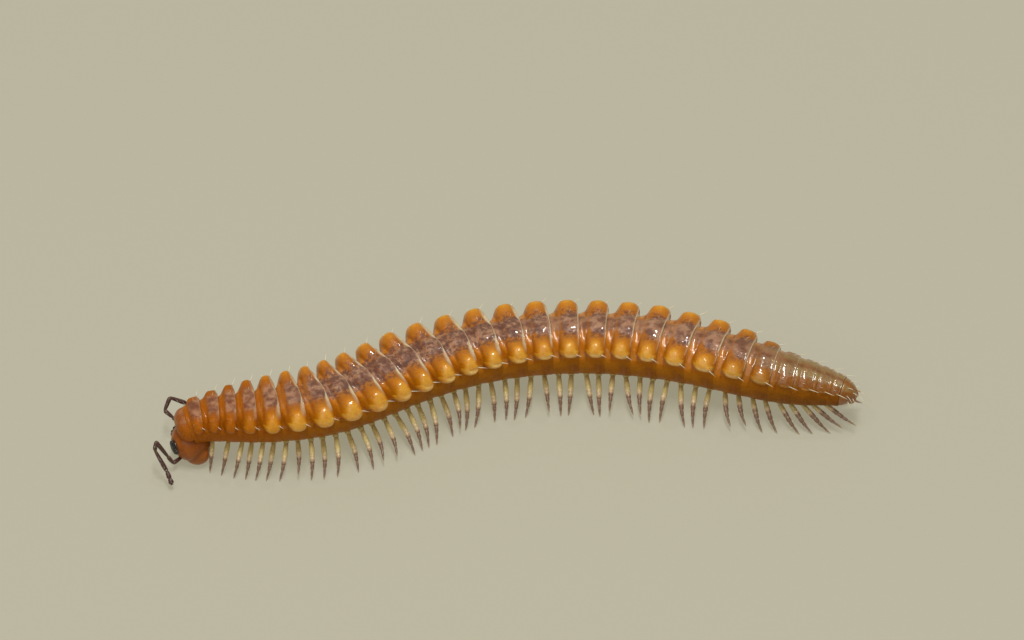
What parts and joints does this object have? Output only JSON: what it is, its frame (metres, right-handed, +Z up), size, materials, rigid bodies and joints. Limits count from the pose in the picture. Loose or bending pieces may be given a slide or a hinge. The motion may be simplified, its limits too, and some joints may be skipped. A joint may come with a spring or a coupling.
{
  "type": "millipede",
  "caption": "Life-size still model of a craspedosomatid millipede with rounded side lobes on each ring, many slender legs and bent antennae, resting in a shallow S on its feet.",
  "frame": {"origin": "centre of the base of the bounding box, on the floor that the feet stand on", "axes": "+Z up; the head points to -X and the telson to +X; the left flank faces -Y"},
  "size_m": [0.0158, 0.0046, 0.0018],
  "materials": {
    "head_capsule": "glossy rufous cuticle",
    "ocelli": "shiny black beads",
    "antenna": "purple-brown, finely haired",
    "ring_cuticle": "glossy amber with dark back patches and pale rear edges",
    "leg": "translucent straw yellow with purple-brown ends",
    "seta": "pale cream bristles",
    "telson": "glossy brown cuticle"
  },
  "bodies": {
    "root": {"head": "head_capsule", "eye_left": "ocelli", "eye_right": "ocelli", "antenna_left": "antenna", "antenna_right": "antenna", "collum": "ring_cuticle", "trunk_1": "ring_cuticle", "trunk_2": "ring_cuticle", "trunk_3": "ring_cuticle", "trunk_4": "ring_cuticle", "trunk_5": "ring_cuticle", "trunk_6": "ring_cuticle", "trunk_7": "ring_cuticle", "telson": "telson"}
  },
  "joints": []
}
